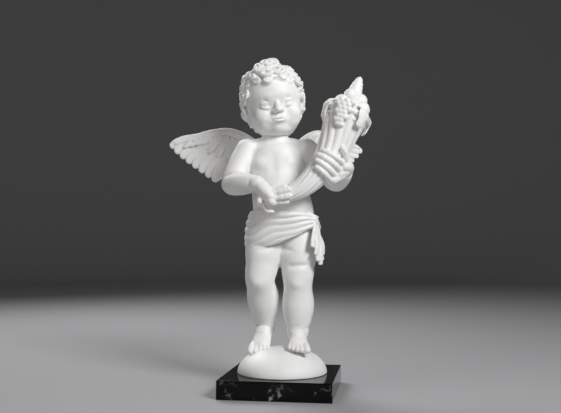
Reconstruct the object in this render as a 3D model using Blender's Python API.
"""A winged putto holding a horn of plenty, carved with its dome from one white block.

It stands on a plinth of black marble. The figure is laid up as blocks of clay: balls and lofted
limbs, fused and smoothed in stages, then fused once more into one closed solid. Its pose and
proportions are shares of its own height. Front is -Y, +Z is up.
"""

import math

import bpy
import numpy as np
from mathutils import Euler, Matrix, Vector

# Driving sizes, in metres
FIGURE_HEIGHT = 0.314
DOME_RADIUS = 0.049
DOME_HEIGHT = 0.028
PLINTH_SIDE = 0.120
PLINTH_THICKNESS = 0.020
PLINTH_CHAMFER = 0.0008
BED_GAP = 0.0003
FIGURE_TRIANGLES = 9400

# The figure is worked out in parts of its height: 320 parts from sole to crown, the sole at height 0
PARTS = 320.0
PART = FIGURE_HEIGHT / PARTS
SOLE_SINK = 1.5 * PART
DOME_FOOT = PLINTH_THICKNESS + BED_GAP
SOLE_LEVEL = DOME_FOOT + DOME_HEIGHT - SOLE_SINK

# Grain of the fused clay, in parts of the height
BODY_GRAIN = 1.7
HEAD_GRAIN = 1.1
SMALL_GRAIN = 0.9
SOLID_GRAIN = 1.15

# Landmarks of the pose, in parts of the height
NECK_BASE = (-9, 4, 236)
HEAD_CENTRE = (-10, -2, 277)
HEAD_SIZE = 1.08
HEAD_TURN = (math.radians(7), math.radians(-11), math.radians(17))
RIGHT_SHOULDER = (-40, -1, 222)
RIGHT_ELBOW = (-56, -14, 183)
RIGHT_WRIST = (-20, -44, 181)
LEFT_SHOULDER = (27, 10, 222)
LEFT_ELBOW = (59, 18, 187)
LEFT_WRIST = (74, -16, 199)
LEFT_HIP = (18, 3, 136)
LEFT_KNEE = (18, -2, 73)
LEFT_ANKLE = (17, 5, 17)
RIGHT_HIP = (-15, 2, 138)
RIGHT_ANKLE = (-22, 19, 27)
THIGH_LENGTH = 63.0
SHIN_LENGTH = 57.0

# The horn of plenty, tail to mouth: place and radius
HORN_LINE = [
    (-3, -47, 150, 1.9),
    (-9, -47, 151, 2.7),
    (-12, -46, 157, 3.7),
    (-8, -45, 163, 4.9),
    (2, -44, 166, 6.5),
    (14, -43, 169, 8.4),
    (28, -41, 176, 10.6),
    (42, -37, 189, 13.0),
    (54, -33, 206, 15.6),
    (63, -29, 225, 18.2),
    (70, -26, 243, 21.0),
    (75, -24, 256, 23.5),
]
HORN_FLUTES = 9


def catmull(points, steps):
    """A smooth line through rows of numbers, with `steps` rows for each span."""
    rows = np.array(points, float)
    rows = np.vstack([2 * rows[0] - rows[1], rows, 2 * rows[-1] - rows[-2]])
    t = np.linspace(0, 1, steps, endpoint=False)[:, None]
    found = []
    for a, b, c, d in zip(rows, rows[1:], rows[2:], rows[3:]):
        bend, twist = 2 * a - 5 * b + 4 * c - d, 3 * b - a - 3 * c + d
        found.append(0.5 * (2 * b + (c - a) * t + bend * t**2 + twist * t**3))
    return np.vstack(found + [rows[-2:-1]])


def unit(v):
    """A vector of length one."""
    v = np.array(v, float)
    return v / np.linalg.norm(v)


def knee_between(hip, ankle, thigh, shin, forward):
    """Where the knee goes so that both bones keep their length, bent towards `forward`."""
    hip, ankle = np.array(hip, float), np.array(ankle, float)
    line = ankle - hip
    reach = min(np.linalg.norm(line), 0.999 * (thigh + shin))
    along = (thigh**2 - shin**2 + reach**2) / (2 * reach)
    line = unit(line)
    side = unit(np.array(forward, float) - np.dot(forward, line) * line)
    return hip + line * along + side * math.sqrt(max(thigh**2 - along**2, 0))


class Clay:
    """Blocks that overlap, to be fused into one closed form."""

    def __init__(self):
        self.points, self.faces, self.count = [], [], 0

    def add(self, points, faces):
        """Takes in one closed block."""
        self.points.append(np.array(points, float))
        self.faces += [tuple(int(i) + self.count for i in face) for face in faces]
        self.count += len(points)

    def ball(self, centre, radii, turn=(0, 0, 0), rings=10, sides=16):
        """An ellipsoid with these three radii, turned by Euler angles."""
        radii = np.array(radii if hasattr(radii, "__len__") else (radii,) * 3, float)
        lat = np.linspace(0, math.pi, rings + 1)[1:-1]
        lon = np.linspace(0, 2 * math.pi, sides, endpoint=False)
        shell = [
            (math.sin(a) * math.cos(b), math.sin(a) * math.sin(b), math.cos(a)) for a in lat for b in lon
        ]
        turned = np.array(Euler(turn).to_matrix())
        points = (np.array([(0, 0, 1)] + shell + [(0, 0, -1)]) * radii) @ turned.T + np.array(centre, float)
        self.add(points, tube_faces(len(lat), sides))

    def loft(self, stations, across=(1, 0, 0), sides=14, steps=4, flute=None):
        """A limb or blade through stations of x, y, z, half width and half depth, with round ends.

        The half width lies along `across`. flute(share along, angle) scales the section, for fluted forms.
        """
        rows = catmull([row if len(row) == 5 else (*row, row[3]) for row in stations], steps)
        centre, width, depth = rows[:, :3], np.maximum(rows[:, 3], 0.2), np.maximum(rows[:, 4], 0.2)
        heading = np.gradient(centre, axis=0)
        heading /= np.linalg.norm(heading, axis=1)[:, None]
        angle = np.linspace(0, 2 * math.pi, sides, endpoint=False)
        ends = np.radians([78, 52, 26])
        rings = [(0, -math.sin(e), math.cos(e)) for e in ends]
        rings += [(i, 0, 1) for i in range(len(rows))]
        rings += [(len(rows) - 1, math.sin(e), math.cos(e)) for e in ends[::-1]]
        points = []
        for i, ahead, share in rings:
            side = unit(np.array(across, float) - np.dot(across, heading[i]) * heading[i])
            up = np.cross(heading[i], side)
            scale = np.array([flute(i / (len(rows) - 1), a) for a in angle]) if flute else np.ones(sides)
            middle = centre[i] + heading[i] * ahead * min(width[i], depth[i])
            ring = np.outer(np.cos(angle) * scale, side) * width[i]
            ring += np.outer(np.sin(angle) * scale, up) * depth[i]
            points.append(middle + ring * share)
        start = centre[0] - heading[0] * min(width[0], depth[0])
        stop = centre[-1] + heading[-1] * min(width[-1], depth[-1])
        self.add(np.vstack([start, *points, stop]), tube_faces(len(rings), sides))

    def take(self, obj):
        """Adds a form that is fused already, and removes its object."""
        mesh = obj.data
        points = np.empty(len(mesh.vertices) * 3)
        mesh.vertices.foreach_get("co", points)
        self.add(points.reshape(-1, 3), [tuple(face.vertices) for face in mesh.polygons])
        bpy.data.objects.remove(obj)

    def fuse(self, name, grain, smooth):
        """One closed form of all blocks, its creases softened by `smooth` passes."""
        mesh = bpy.data.meshes.new(name)
        mesh.from_pydata(np.vstack(self.points).tolist(), [], self.faces)
        obj = bpy.data.objects.new(name, mesh)
        bpy.context.scene.collection.objects.link(obj)
        remesh = obj.modifiers.new("Fuse", "REMESH")
        remesh.mode = "VOXEL"
        remesh.voxel_size = grain
        soften = obj.modifiers.new("Soften", "SMOOTH")
        soften.factor = 0.5
        soften.iterations = smooth
        settle(obj)
        return obj


def tube_faces(rings, sides):
    """Faces of a tube of rings closed by a point at each end: first point, rings, last point."""
    faces = [(0, 1 + (j + 1) % sides, 1 + j) for j in range(sides)]
    for i in range(rings - 1):
        low, high = 1 + i * sides, 1 + (i + 1) * sides
        faces += [(low + j, low + (j + 1) % sides, high + (j + 1) % sides, high + j) for j in range(sides)]
    last = 1 + rings * sides
    faces += [(last - sides + j, last - sides + (j + 1) % sides, last) for j in range(sides)]
    return faces


def settle(obj):
    """Applies an object's modifiers to its mesh."""
    graph = bpy.context.evaluated_depsgraph_get()
    mesh = bpy.data.meshes.new_from_object(obj.evaluated_get(graph))
    old = obj.data
    obj.modifiers.clear()
    obj.data = mesh
    bpy.data.meshes.remove(old)


def carve(obj, strokes):
    """Sculpts along lines: each stroke is (points, reach, height), a groove where the height is below 0."""
    mesh = obj.data
    count = len(mesh.vertices)
    points, normals = np.empty(count * 3), np.empty(count * 3)
    mesh.vertices.foreach_get("co", points)
    mesh.vertex_normals.foreach_get("vector", normals)
    points, normals = points.reshape(-1, 3), normals.reshape(-1, 3)
    shift = np.zeros(count)
    for line, reach, height in strokes:
        path = catmull(line, 6) if len(line) > 2 else np.array(line, float)
        near = np.full(count, 1e9)
        for a, b in zip(path, path[1:]) if len(path) > 1 else [(path[0], path[0])]:
            span = b - a
            t = np.clip((points - a) @ span / max(span @ span, 1e-9), 0, 1)
            near = np.minimum(near, np.linalg.norm(points - a - t[:, None] * span, axis=1))
        shift += height * np.exp(-((near / reach) ** 2))
    points += normals * shift[:, None]
    mesh.vertices.foreach_set("co", points.ravel())
    mesh.update()


def torso(clay):
    """Trunk from seat to neck, with belly, seat and shoulders."""
    clay.loft(
        [
            (2, 3, 120, 20, 17),
            (3, 3, 130, 31, 24),
            (2, 2, 145, 34, 27),
            (0, -1, 160, 33.5, 28.5),
            (-3, -1, 175, 31.5, 27),
            (-5, 1, 190, 29.8, 24),
            (-7, 3, 205, 30.5, 22.5),
            (-8, 4, 218, 30, 21),
            (-9, 5, 228, 23, 17),
            (-9, 4, 236, 15, 14),
            (-10, 3, 244, 13.5, 13.5),
            (-10, 1, 256, 13, 13),
        ],
        across=(1, 0.15, 0),
        sides=24,
    )
    clay.ball((-1, -14, 166), (27, 20, 21))
    for x, y in ((-20, -5.5), (5, -1.5)):
        clay.ball((x, y, 208), (13, 12, 11))
    for x, z in ((-14, 138), (19, 134)):
        clay.ball((x, 17, z), (16, 13, 15))
    clay.ball(RIGHT_SHOULDER, (14, 14, 14))
    clay.ball(LEFT_SHOULDER, (14, 14, 14))
    for shoulder in (RIGHT_SHOULDER, LEFT_SHOULDER):
        middle = [(a + b) / 2 for a, b in zip(shoulder, NECK_BASE)]
        clay.ball((middle[0], middle[1] + 3, middle[2] + 0), (14, 11, 8))


BODY_STROKES = [
    ([(-2, -34, 172), (-2, -34, 174)], 2.4, -2.4),
    ([(-8, -24, 222), (-7, -26, 205), (-4, -29, 190)], 4, -0.9),
    ([(-9, 27, 226), (-7, 26, 205), (-4, 26, 180), (0, 29, 160)], 4, -1.4),
    ([(0, -27, 89), (12, -20, 91), (24, -19, 92), (38, -8, 93)], 2.6, -1.3),
    ([(-48, -18, 93), (-34, -30, 96), (-20, -32, 95), (-8, -24, 94)], 2.6, -1.3),
    ([(4, -10, 25), (17, -10, 24), (30, -8, 26)], 2.2, -1.2),
    ([(-69, -13, 186), (-61, -22, 192), (-51, -26, 194)], 2.2, -1.2),
]


def leg(clay, hip, knee, ankle):
    """One chubby leg: full thigh, round knee, calf and soft ankle."""
    hip, knee, ankle = (np.array(p, float) for p in (hip, knee, ankle))
    forward = unit(np.array((0, -1, 0)) - np.dot((0, -1, 0), unit(ankle - hip)) * unit(ankle - hip))
    thigh, shin = knee - hip, ankle - knee
    rows = [
        (*hip, 20, 21),
        (*(hip + thigh * 0.22 - forward * 0.5), 22.5, 22.5),
        (*(hip + thigh * 0.46 + forward * 0.6), 22.3, 22),
        (*(hip + thigh * 0.64 + forward * 0.8), 20.5, 20.5),
        (*(hip + thigh * 0.74 + forward * 0.8), 18.6, 18.8),
        (*(hip + thigh * 0.86 + forward * 0.6), 18.2, 18.0),
        (*knee, 16.6, 16.6),
        (*(knee + shin * 0.16 - forward * 1.0), 15.8, 16),
        (*(knee + shin * 0.40 - forward * 3.0), 17.4, 18),
        (*(knee + shin * 0.62 - forward * 2.2), 16.4, 17),
        (*(knee + shin * 0.82 - forward * 0.8), 13.8, 14.2),
        (*(knee + shin * 0.92 - forward * 0.5), 12.9, 13.3),
        (*ankle, 12.6, 13.2),
    ]
    clay.loft(rows, across=(1, 0, 0), sides=20)
    clay.ball(knee + forward * 9.5, (10, 8.5, 10))
    clay.ball(knee + forward * 9.0 + unit(shin) * 9, (7.5, 7, 6))


def foot(clay, ankle, heel, ball_of_foot, toe_line, outward):
    """A child's foot: heel, instep, sole and five toes."""
    ankle, heel, ball_of_foot = (np.array(p, float) for p in (ankle, heel, ball_of_foot))
    side = unit(np.cross(ball_of_foot - heel, (0, 0, 1))) * outward
    up = unit(np.cross(side, ball_of_foot - heel)) * outward
    clay.ball(heel, (9.5, 10, 9))
    clay.loft([(*(ankle + up), 10.5, 11), (*((ankle + heel) / 2), 10.5, 11), (*heel, 9, 9)], sides=14)
    clay.loft(
        [
            (*(heel + up * 1), 9, 8),
            (*(heel * 0.55 + ball_of_foot * 0.45 + up * 3.5), 9.5, 8.5),
            (*(ball_of_foot + up * 1), 11, 6),
        ],
        across=side,
    )
    instep = ankle * 0.4 + ball_of_foot * 0.6 + up * 2
    clay.loft([(*(ankle - up * 2), 9, 9), (*instep, 8.5, 6)], across=side)
    clay.ball(ball_of_foot, (10.5, 8, 5.5), (0, 0, math.atan2(side[1], side[0])))
    reach = np.array(toe_line, float) - ball_of_foot
    toes = ((-8.3, 4.1, 1.0), (-2.8, 3.1, 1.0), (1.6, 2.9, 0.9), (5.5, 2.7, 0.72), (9, 2.5, 0.5))
    for place, size, length in toes:
        root = ball_of_foot + side * place * 0.92 + up * 0.3
        tip = ball_of_foot + side * place * 1.06 + reach * length - up * 0.8
        middle = (root + tip) / 2 + up * 1.1
        clay.loft([(*root, size), (*middle, size * 0.93), (*tip, size)], across=side, sides=10, steps=3)


def arm(clay, shoulder, elbow, wrist):
    """One round arm from shoulder to wrist."""
    shoulder, elbow, wrist = (np.array(p, float) for p in (shoulder, elbow, wrist))
    upper, lower = elbow - shoulder, wrist - elbow
    clay.loft(
        [
            (*shoulder, 13.5),
            (*(shoulder + upper * 0.35), 14.4),
            (*(shoulder + upper * 0.72), 13.4),
            (*elbow, 12.2),
            (*(elbow + lower * 0.3), 13.2),
            (*(elbow + lower * 0.62), 12),
            (*(elbow + lower * 0.86), 9.6),
            (*wrist, 8.8),
        ],
        across=(0, 0, 1),
        sides=18,
    )


class Horn:
    """The horn of plenty: its line, and places on its skin."""

    def __init__(self):
        self.rows = catmull(HORN_LINE, 10)
        steps = np.linalg.norm(np.diff(self.rows[:, :3], axis=0), axis=1)
        self.run = np.concatenate([[0], np.cumsum(steps)])
        self.length = self.run[-1]

    def skin(self, run, angle, lift=0.0):
        """A point on the skin at this run from the tail; angle 0 is the front, and more goes up and over."""
        row = np.array([np.interp(run, self.run, column) for column in self.rows.T])
        ahead = np.array([np.interp(run + 2, self.run, column) for column in self.rows[:, :3].T])
        behind = np.array([np.interp(run - 2, self.run, column) for column in self.rows[:, :3].T])
        heading = unit(ahead - behind)
        front = unit(np.array((0, -1, 0)) - np.dot((0, -1, 0), heading) * heading)
        over = np.cross(front, heading)
        angle = math.radians(angle)
        return row[:3] + (row[3] + lift) * (math.cos(angle) * front + math.sin(angle) * over)

    def build(self, clay):
        """Fluted, twisted body with a rolled lip."""
        flute = lambda share, a: 1 + 0.07 * min(1, 3 * share) * math.cos(HORN_FLUTES * (a + 2.2 * share))
        clay.loft(HORN_LINE, across=(0, -1, 0), sides=72, steps=6, flute=flute)
        mouth, heading, side, up = self.mouth()
        turns = np.linspace(0, 2 * math.pi, 25)
        lip = [(*(mouth + 22.5 * (math.cos(a) * side + math.sin(a) * up)), 3.2) for a in turns]
        clay.loft(lip, across=heading, sides=8, steps=2)

    def mouth(self):
        """Centre of the mouth, its outward direction and two directions across it."""
        mouth, before = self.rows[-1, :3], self.rows[-12, :3]
        heading = unit(mouth - before)
        side = unit(np.cross(heading, (0, 1, 0)))
        return mouth, heading, side, np.cross(side, heading)


def finger(clay, horn, trail, size):
    """A finger that lies on the horn through (run, angle) places."""
    swells = (1.06, 1, 0.97, 0.9)
    rows = [(*horn.skin(run, angle, size * 0.8), size * swell) for (run, angle), swell in zip(trail, swells)]
    clay.loft(rows, across=(0, 0, 1), sides=10, steps=4)


def hands(clay, horn):
    """Both hands: the right one laid along the narrow end, the left one round the wide part from outside."""
    knuckles = [horn.skin(24, a, 3.5) for a in (58, 14, -30)]
    for place in knuckles:
        palm = (np.array(RIGHT_WRIST) + place) / 2
        clay.loft([(*RIGHT_WRIST, 7), (*palm, 6.6), (*place, 5.2)], sides=12)
    for angle, size, length in ((62, 3.5, 17), (26, 3.7, 20), (-9, 3.6, 19), (-42, 3.2, 15)):
        trail = [(24 + length * s, angle - 8 * s) for s in (0, 0.4, 0.75, 1.05)]
        finger(clay, horn, trail, size)
    finger(clay, horn, [(15, 60), (19, 85), (26, 104), (32, 112)], 3.8)
    grip = horn.length - 62
    for step, angle in ((-7, -82), (1, -86), (9, -82)):
        place = horn.skin(grip + step, angle, 4)
        palm = (np.array(LEFT_WRIST) + place) / 2 + (2, -1, 0)
        clay.loft([(*LEFT_WRIST, 7), (*palm, 7), (*place, 5.5)], sides=12)
    for step, size, span in ((-9, 3.3, 84), (-3, 3.6, 98), (3.2, 3.7, 102), (9.4, 3.5, 92)):
        trail = [(grip + step, -74 + span * s) for s in (0, 0.38, 0.72, 1.0)]
        finger(clay, horn, trail, size)
    finger(clay, horn, [(grip + 8, -86), (grip + 11, -78), (grip + 14, -68), (grip + 15.5, -58)], 3.7)


def fruit(clay, horn):
    """Apples, pears, a pine cone, grapes and leaves heaped in the mouth."""
    mouth, heading, side, up = horn.mouth()

    def at(out, angle, rise):
        return mouth + out * (math.cos(angle) * side + math.sin(angle) * up) + rise * heading

    clay.ball(at(0, 0, 4), (20, 20, 14))
    for k in range(6):
        clay.ball(at(14.5, k * math.pi / 3 + 0.3, 8 + 2 * (k % 2)), 8.6 - 0.8 * (k % 3))
    for k in range(3):
        clay.ball(at(8, k * 2 * math.pi / 3 + 1.0, 20), 8.2 - 0.5 * k)
    tip = at(2, 0.5, 44)
    root = at(1, 0.5, 18)
    cone = ((0, 7), (0.4, 8.6), (0.75, 6.2), (1, 2.2))
    clay.loft([(*(root * (1 - share) + tip * share), wide) for share, wide in cone], sides=14)
    for k in range(5):
        share = k / 5
        middle = root * (0.85 - 0.75 * share) + tip * (0.15 + 0.75 * share)
        swell = 7.6 - 3.8 * share**1.5
        for j in range(7):
            angle = (j + 0.5 * (k % 2)) * 2 * math.pi / 7
            scale = middle + swell * (math.cos(angle) * side + math.sin(angle) * up)
            clay.ball(scale, 2.9 - 1.1 * share, rings=6, sides=8)
    for k in range(7):
        for j in range(3):
            fall, turn = k * 4.2, (j - 1) * (0.20 - 0.014 * k) + (0.09 if k % 2 else 0)
            angle = -0.35 + turn
            clay.ball(at(24 - 0.12 * fall * k, angle, 6 - fall), 3.5, rings=6, sides=10)
    for angle, drop in ((-1.5, 12), (-0.95, 15), (0.6, 12), (1.7, 13), (2.7, 12), (3.9, 14)):
        rows = [
            (*at(14, angle, 6), 3.4, 1.3),
            (*at(25, angle, 5), 6.2, 1.5),
            (*at(30, angle, 5 - drop), 4.6, 1.4),
            (*at(29, angle, -drop), 1.0, 1.0),
        ]
        clay.loft(rows, across=np.cross(heading, at(1, angle, 0) - mouth), sides=10)


class Wing:
    """A spread wing: an arm, flight feathers and two courses of short ones on both faces."""

    SIZE = 1.15
    ARM = [(-6, -8, 8), (8, 8, 8.5), (24, 22, 7.5), (44, 31, 6.5), (66, 31, 5), (88, 26, 4), (103, 22, 3)]

    def __init__(self, root, sweep, mirrored):
        self.root = np.array(root, float)
        flip = 1 if mirrored else -1
        self.out = np.array((flip * math.cos(sweep), math.sin(sweep), 0))
        self.back = np.array((-flip * math.sin(sweep), math.cos(sweep), 0))

    def at(self, out, rise, back=0.0):
        """A place on the wing: outwards, up, and behind its middle, which bows backwards."""
        bow = 9 * math.sin(min(max(out, 0), 110) / 110 * math.pi)
        return self.root + self.SIZE * (self.out * out + np.array((0, 0, rise))) + self.back * (back + bow)

    def feather(self, clay, root, tip, width, thick, back):
        """One blade, widest past its middle, with a round tip and its upper edge laid over the next one."""
        (u0, v0), (u1, v1) = root, tip
        rows = []
        for s, share in ((0, 0.55), (0.3, 0.85), (0.65, 1.0), (0.88, 0.86), (1.0, 0.52)):
            sag = 2.2 * math.sin(s * math.pi)
            place = self.at(u0 + (u1 - u0) * s, v0 + (v1 - v0) * s + sag, back * (1 - 0.35 * s))
            rows.append((*place, self.SIZE * width * share, thick))
        along = self.at(*tip) - self.at(*root)
        tilt = math.copysign(0.17, back) if back else 0.0
        clay.loft(rows, across=unit(np.cross(along, self.back)) + tilt * self.back, sides=12, steps=3)

    def build(self, clay):
        """All of the wing."""
        clay.loft([(*self.at(u, v), r) for u, v, r in self.ARM], across=self.back, sides=14)
        web = ((2, 0, 13, 5), (22, 8, 16, 4), (42, 15, 14, 3.5), (62, 21, 10, 3), (80, 19, 6, 2.4))
        clay.loft([(*self.at(u, v), wide, thick) for u, v, wide, thick in web], across=(0, 0, 1))
        for k in range(8):
            s = k / 7
            root = (62 - 20 * s, 27 - 5 * s)
            tip = (108 - 46 * s**1.15, 19 - 37 * s**0.95)
            self.feather(clay, root, tip, 6.8, 1.9, 0.8)
        for k in range(7):
            s = k / 6
            self.feather(clay, (40 - 36 * s, 20 - 14 * s), (54 - 46 * s, -15 - 16 * s), 6.8, 1.9, 0.8)
        for face in (-1, 1):
            for k in range(8):
                s = k / 7
                root, tip = (68 - 56 * s, 27 - 14 * s), (84 - 68 * s**0.9, 10 - 20 * s)
                self.feather(clay, root, tip, 5.4, 1.4, face * 2.9)
            for k in range(8):
                s = k / 7
                root, tip = (66 - 56 * s, 31 - 17 * s), (71 - 60 * s, 18 - 16 * s)
                self.feather(clay, root, tip, 5.2, 1.4, face * 4.3)


def hip_cloth(clay):
    """A swag of cloth round the hips, gathered at a knot over the left hip, with one end hanging down."""
    around, rows = 72, 22
    points = []
    for i in range(around):
        a = 2 * math.pi * i / around
        c, s = math.cos(a), math.sin(a)
        gather = 0.5 + 0.5 * math.cos(a + 0.35)
        top = 152 - 3 * s - 4 * gather
        low = 110 + 4 * (1 + s) + 22 * gather**3
        for j in range(rows):
            v = j / (rows - 1)
            z = low + (top - low) * v
            hang = (152 - z) / 44
            wide = 36 + 7.0 * hang
            deep = 27.5 - 2.0 * hang if s < 0 else 29 + 4.5 * math.sin(min(hang, 1) * math.pi)
            wave = 4.3 * v + 0.55 * math.sin(a * 2 + 1) + 0.22 * math.sin(a * 5 + 3 * v) + 0.3 * gather * v
            fold = abs(math.sin(math.pi * wave)) ** 0.8 * (0.75 + 0.25 * math.sin(a * 3 + 7 * v))
            edge = min(1, 6 * min(v, 1 - v) + 0.25)
            out = 1 + (0.9 + 2.3 * fold) * edge / 32
            boxy = (abs(c) ** 2.5 + abs(s) ** 2.5) ** -0.4
            points.append((1 + wide * out * c * boxy, 0.5 + deep * out * s * boxy, z))
        for j in range(rows):
            z = top - (top - low) * j / (rows - 1)
            points.append((1 + 15 * c, 1 + 10 * s, z))
    ring = 2 * rows
    faces = []
    for i in range(around):
        here, there = i * ring, ((i + 1) % around) * ring
        faces += [(here + j, there + j, there + (j + 1) % ring, here + (j + 1) % ring) for j in range(ring)]
    clay.add(points, faces)
    knot = np.array((35, -12, 143))
    clay.ball(knot, (6.5, 6, 5.5))
    clay.ball(knot + (-3, -3, 5), (5, 4, 3.5), (0.4, 0.3, 0))
    ends = ((41, -22, 101, 3.2), (45, -15, 94, 3.6), (47, -7, 99, 3.4), (45, 1, 108, 3), (37, -26, 110, 2.8))
    for *end, size in ends:
        end = np.array(end)
        middle = (knot + end) / 2 + (2.5, -1, 4)
        clay.loft([(*knot, 2.6), (*middle, size * 0.9), (*end, size)], across=(0, 1, 0), sides=10)


def head_forms(clay):
    """Skull and a calm child's face, in the head's own frame: x across, -y to the front, z up."""
    clay.loft(
        [
            (0, 4, 36, 9, 10),
            (0, 4, 31, 19, 21),
            (0, 3.5, 25, 25, 27.5),
            (0, 3, 16, 28.6, 31),
            (0, 2.5, 6, 29.6, 32),
            (0, 2.5, -3, 28.8, 29.6),
            (0, 1, -11, 27.6, 27.8),
            (0, -1.5, -18, 25, 25),
            (0, -6, -25, 19.5, 20),
            (0, -11, -30.5, 12, 12.5),
            (0, -13, -33.5, 6, 6),
        ],
        across=(1, 0, 0),
        sides=28,
    )
    clay.ball((0, -15.6, -25.8), (11.5, 8.6, 7.2))
    clay.ball((0, -12, -16.5), (19, 14.2, 12))
    for s in (-1, 1):
        clay.ball((s * 12.8, -13.9, -13.5), (11, 11, 11))
        clay.ball((s * 11.5, -11.5, -20.5), (10, 10, 9))


def face_features(clay):
    """Nose, lips, eyes and ears."""
    clay.loft([(0, -25.4, 0, 2.2), (0, -26.8, -4.5, 2.5), (0, -28.6, -8.6, 3.3)], sides=14)
    clay.ball((0, -28.7, -9.6), (3.8, 3.4, 3.3))
    upper = [(-7.4, -23.5, -17.9, 0.7), (-3.2, -25.6, -17.2, 1.5), (0, -26.1, -17.8, 1.4)]
    clay.loft(upper + [(-x, y, z, r) for x, y, z, r in upper[1::-1]], sides=10)
    clay.loft([(-5.8, -23.9, -19.4, 1.0), (0, -25.7, -20.6, 1.8), (5.8, -23.9, -19.4, 1.0)], sides=10)
    for s in (-1, 1):
        clay.ball((s * 3.8, -26.6, -10.6), (2.3, 2.8, 2.2))
        clay.ball((s * 10.6, -19.6, -3.4), (6.0, 5.9, 5.2))
        upper_lid = ((4.9, -24.6, -4.4, 0.7), (10.4, -26.2, 0.2, 1.15), (16.4, -21.6, -3.4, 0.75))
        lower_lid = ((5.2, -24.5, -4.8, 0.6), (10.8, -25.2, -7.4, 0.85), (16.0, -21.6, -4.2, 0.65))
        for lid in (upper_lid, lower_lid):
            clay.loft([(s * x, y, z, r) for x, y, z, r in lid], sides=10)
        clay.ball((s * 27.6, 4, -5), (3.0, 5.6, 8.2), (0, s * 0.15, s * -0.4))


FACE_STROKES = [
    ([(-9.5, -26.5, -3.2), (-11.5, -25.6, -3.4)], 5.2, -1.4),
    ([(9.5, -26.5, -3.2), (11.5, -25.6, -3.4)], 5.2, -1.4),
    ([(0, -27.5, 0), (0, -27.6, -0.5)], 4.0, -0.5),
    ([(-5, -28, 5.5), (-11, -26.5, 7.6), (-18, -21.5, 4.5)], 2.6, 0.7),
    ([(5, -28, 5.5), (11, -26.5, 7.6), (18, -21.5, 4.5)], 2.6, 0.7),
]
LIP_LINE = [(x, -27.2 + 0.057 * x * x, -19.2 + 0.14 * abs(x)) for x in (-7.0, -3.2, 0, 3.2, 7.0)]
FINE_FACE_STROKES = [
    (LIP_LINE, 0.9, -1.0),
    ([(-8.2, -23.6, -17.8), (-8.8, -23.2, -17.2)], 1.8, -0.8),
    ([(8.2, -23.6, -17.8), (8.8, -23.2, -17.2)], 1.8, -0.8),
    ([(-3, -24.8, -23.4), (0, -25.2, -23.6), (3, -24.8, -23.4)], 2.2, -0.45),
    ([(0, -26.8, -13.4), (0, -26.6, -15.8)], 1.1, -0.6),
    ([(-1.9, -28.6, -12.5), (-1.7, -29.0, -12.6)], 1.0, -1.2),
    ([(1.9, -28.6, -12.5), (1.7, -29.0, -12.6)], 1.0, -1.2),
]


def scalp_places(count):
    """Evenly spread places on the scalp, with the face and the nape left bare."""
    places = []
    golden = math.pi * (3 - math.sqrt(5))
    for k in range(count):
        z = 1 - 2 * (k + 0.5) / count
        r, a = math.sqrt(1 - z * z), k * golden
        d = np.array((r * math.cos(a), r * math.sin(a), z))
        brow = 0.44 + 0.10 * math.cos(7 * d[0])
        temple = 0.27 + 0.12 * z + 0.9 * max(z, 0) ** 2
        on_face = d[1] < -0.10 and z < brow and -d[1] > temple
        if not on_face and z > -0.66 and not (z < -0.36 and d[1] < 0.10):
            places.append(d)
    return places


def curl(clay, place, normal, size, spin, start):
    """One snail curl: a strand that winds in and rises to its middle."""
    side = unit(np.cross(normal, (0.3, 0.5, 0.81)))
    up = np.cross(normal, side)
    rows = []
    for t in np.linspace(0, 1, 9):
        a = start + spin * t * 1.35 * 2 * math.pi
        r = size * (1 - t) ** 0.75
        middle = np.array(place) + (math.cos(a) * side + math.sin(a) * up) * r + normal * (0.6 + 3.2 * t)
        rows.append((*middle, size * (0.44 - 0.16 * t)))
    clay.loft(rows, across=normal, sides=8, steps=2)


def hair(clay):
    """A cap of short curls that ends in two rows at the nape, with a tuft over the brow."""
    for k, d in enumerate(scalp_places(128)):
        place = np.array((0, 3.5, 7)) + d * np.array((30.6, 33, 30.8))
        clay.ball(place - d * 1.5, 5.2, rings=6, sides=10)
        curl(clay, place, d, 5.9 + 0.8 * math.sin(k * 2.4), 1 if k % 2 else -1, k * 1.7)
    for count, height, wide, deep, middle in ((11, -15, 27, 26, 0), (8, -21.5, 21, 19, -1.5)):
        for k in range(count):
            a = math.radians(15 * (k - (count - 1) / 2))
            d = unit((math.sin(a), math.cos(a), -0.45))
            lift = 2.5 * abs(math.sin(a))
            place = np.array((wide * math.sin(a), middle + deep * math.cos(a), height + lift))
            clay.ball(place - d * 2, 5.2, rings=6, sides=10)
            curl(clay, place - d * 0.5, d, 5.0, 1 if k % 2 else -1, k * 2.1)
    for turn, rise, size, spin in ((-14, 33, 6.2, 1), (4, 27, 5.4, -1), (-4, 48, 6.2, -1), (19, 35, 5.4, 1)):
        turn, rise = math.radians(turn), math.radians(rise)
        d = np.array((math.sin(turn) * math.cos(rise), -math.cos(turn) * math.cos(rise), math.sin(rise)))
        place = np.array((0, 3.5, 7)) + d * np.array((30.6, 33, 30.8)) * 1.03
        clay.ball(place - d * 2, 5, rings=6, sides=10)
        curl(clay, place, d, size, spin, turn * 9)


def place_head(obj):
    """Sets a form made in the head's frame onto the neck."""
    turn = Euler(HEAD_TURN, "YXZ").to_matrix().to_4x4() @ Matrix.Scale(HEAD_SIZE, 4)
    turn.translation = Vector(HEAD_CENTRE)
    obj.data.transform(turn)


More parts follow.
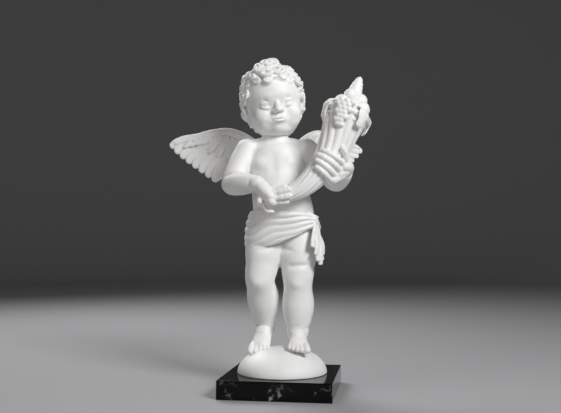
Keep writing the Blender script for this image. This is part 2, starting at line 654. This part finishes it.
def putto():
    """The whole white piece, in metres: figure, wings, horn, cloth and dome."""
    horn = Horn()
    right_knee = knee_between(RIGHT_HIP, RIGHT_ANKLE, THIGH_LENGTH, SHIN_LENGTH, (-0.25, -1, 0))

    body = Clay()
    torso(body)
    leg(body, LEFT_HIP, LEFT_KNEE, LEFT_ANKLE)
    leg(body, RIGHT_HIP, right_knee, RIGHT_ANKLE)
    arm(body, RIGHT_SHOULDER, RIGHT_ELBOW, RIGHT_WRIST)
    arm(body, LEFT_SHOULDER, LEFT_ELBOW, LEFT_WRIST)
    body = body.fuse("body", BODY_GRAIN, 16)
    carve(body, BODY_STROKES)

    head = Clay()
    head_forms(head)
    head = head.fuse("head", HEAD_GRAIN, 14)
    carve(head, FACE_STROKES)
    features = Clay()
    features.take(head)
    face_features(features)
    head = features.fuse("head", SMALL_GRAIN, 3)
    carve(head, FINE_FACE_STROKES)
    curls = Clay()
    curls.take(head)
    hair(curls)
    head = curls.fuse("head", SMALL_GRAIN, 1)
    place_head(head)

    small = Clay()
    foot(small, LEFT_ANKLE, (17, 12, 8), (20, -15, 5), (22.5, -27, 2), 1)
    foot(small, RIGHT_ANKLE, (-22, 26, 19), (-24, 0, 3.5), (-25.5, -11, -2.5), -1)
    hands(small, horn)
    horn.build(small)
    fruit(small, horn)
    hip_cloth(small)
    Wing((-20, 21, 213), math.radians(8), False).build(small)
    Wing((8, 24, 213), math.radians(52), True).build(small)
    small = small.fuse("small", SMALL_GRAIN, 3)

    whole = Clay()
    whole.take(body)
    whole.take(head)
    whole.take(small)
    dome(whole)
    whole = whole.fuse("putto", SOLID_GRAIN, 1)
    thin = whole.modifiers.new("Facets", "DECIMATE")
    thin.ratio = FIGURE_TRIANGLES / sum(len(face.vertices) - 2 for face in whole.data.polygons)
    settle(whole)
    points = np.empty(len(whole.data.vertices) * 3)
    whole.data.vertices.foreach_get("co", points)
    points = points.reshape(-1, 3) * PART + (0, 0, SOLE_LEVEL)
    whole.data.vertices.foreach_set("co", points.ravel())
    whole.data.update()
    return whole


def dome(clay):
    """The dome underfoot, in parts of the figure's height."""
    radius, height = DOME_RADIUS / PART, DOME_HEIGHT / PART
    foot_level = (DOME_FOOT - SOLE_LEVEL) / PART
    rings, sides = 24, 96
    points = [(0, 0, foot_level + height)]
    for i in range(1, rings + 1):
        a = math.pi / 2 * i / rings
        for j in range(sides):
            b = 2 * math.pi * j / sides
            out = radius * math.sin(a)
            points.append((out * math.cos(b), out * math.sin(b), foot_level + height * math.cos(a)))
    points.append((0, 0, foot_level))
    clay.add(points, tube_faces(rings, sides))


def plinth():
    """The square slab of black marble, its edges just broken."""
    half, top = PLINTH_SIDE / 2, PLINTH_THICKNESS
    corners = [(x * half, y * half, z) for z in (0, top) for x, y in ((-1, -1), (1, -1), (1, 1), (-1, 1))]
    faces = [(3, 2, 1, 0), (4, 5, 6, 7)] + [(i, (i + 1) % 4, 4 + (i + 1) % 4, 4 + i) for i in range(4)]
    mesh = bpy.data.meshes.new("marble_plinth")
    mesh.from_pydata(corners, [], faces)
    slab = bpy.data.objects.new("marble_plinth", mesh)
    bpy.context.scene.collection.objects.link(slab)
    bevel = slab.modifiers.new("Broken edge", "BEVEL")
    bevel.width = PLINTH_CHAMFER
    bevel.segments = 1
    return slab


def material(name, colour, roughness):
    """A plain finish."""
    made = bpy.data.materials.new(name)
    made.use_nodes = True
    shader = made.node_tree.nodes["Principled BSDF"]
    shader.inputs["Base Color"].default_value = (*colour, 1)
    shader.inputs["Roughness"].default_value = roughness
    return made


def main():
    """Builds both pieces."""
    for old in list(bpy.data.objects):
        bpy.data.objects.remove(old)
    putto().data.materials.append(material("white_alabaster", (0.86, 0.85, 0.83), 0.45))
    plinth().data.materials.append(material("black_marble", (0.02, 0.02, 0.022), 0.12))


if __name__ == "__main__":
    main()
